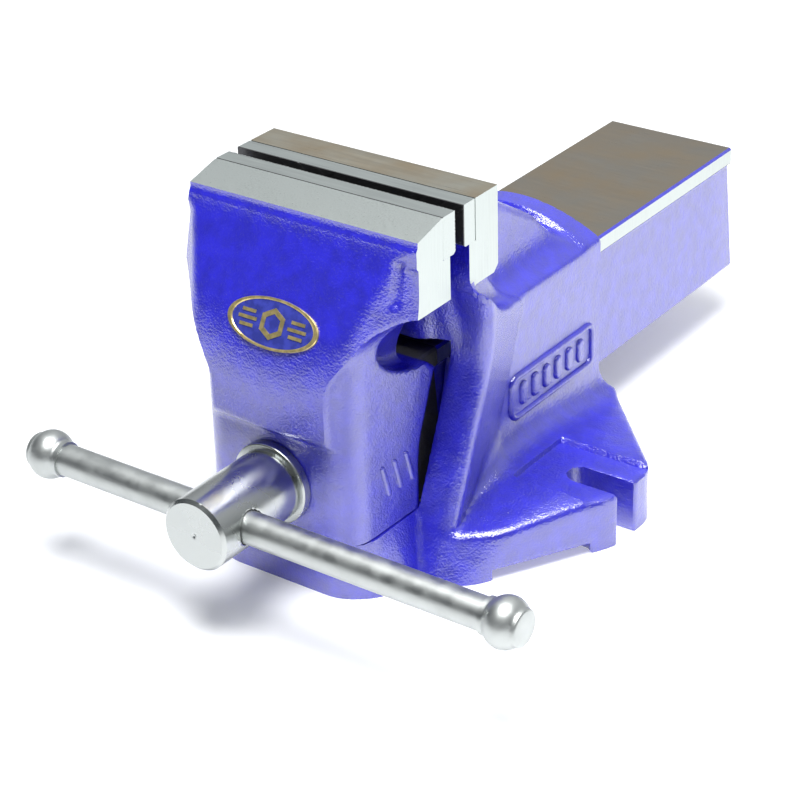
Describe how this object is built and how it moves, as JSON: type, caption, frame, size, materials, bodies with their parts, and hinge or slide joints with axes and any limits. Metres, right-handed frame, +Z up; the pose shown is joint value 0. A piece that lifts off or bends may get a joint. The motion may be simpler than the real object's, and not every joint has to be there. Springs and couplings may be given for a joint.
{
  "type": "bench vise",
  "caption": "Fitter's bench vise with square-section slide, serrated steel jaw plates, sliding tommy bar and a flared base with open bolt slots.",
  "frame": {"origin": "on the sole, midway between the two bench bolt slots", "axes": "+Z up from the bench, +Y towards the tail of the slide, +X to the right seen from the handle"},
  "size_m": [0.2515, 0.3804, 0.166],
  "materials": {
    "blue_paint": "glossy blue enamel over slightly rough cast iron, bare where it is machined",
    "jaw_steel": "ground hardened steel with a serrated gripping face",
    "bright_steel": "turned bright steel with fine circular tool marks",
    "dark_steel": "blackened steel with a thin film of oil",
    "nut_iron": "grey iron as cast, machined in the bore and under the foot",
    "badge_enamel": "blue enamel plate with a pale gold rim and emblem"
  },
  "bodies": {
    "body": {"body_casting": "blue_paint", "fixed_jaw_plate": "jaw_steel", "fixed_jaw_plate_screws": "dark_steel", "main_nut": "nut_iron", "nut_bolts": "dark_steel", "nut_bolt_washers": "dark_steel", "nut_dowel": "bright_steel"},
    "sliding_jaw": {"sliding_jaw_casting": "blue_paint", "sliding_jaw_plate": "jaw_steel", "sliding_jaw_plate_screws": "dark_steel", "thrust_washer": "bright_steel", "badge": "badge_enamel"},
    "main_screw": {"main_screw": "bright_steel", "spring_washer": "bright_steel", "retaining_spring": "dark_steel", "retaining_collar": "dark_steel", "collar_pin": "bright_steel"},
    "handle": {"handle_bar": "bright_steel", "handle_knob_left": "bright_steel", "handle_knob_right": "bright_steel"}
  },
  "joints": [
    {"name": "jaw_slide", "type": "slide", "parent": "body", "child": "sliding_jaw", "axis": [0, -1, 0], "range_m": [-0.0055, 0.1444]},
    {"name": "screw_turn", "type": "hinge", "parent": "sliding_jaw", "child": "main_screw", "pos_m": [0, -0.1375, 0.0494], "axis": [0, -1, 0], "range_deg": [-329.9, 8663.9]},
    {"name": "handle_slide", "type": "slide", "parent": "main_screw", "child": "handle", "axis": [1, 0, 0], "range_m": [-0.112, 0.068]}
  ],
  "couplings": [
    {"joint": "jaw_slide", "follows": "screw_turn", "m_per_rad": 0.00095493}
  ]
}
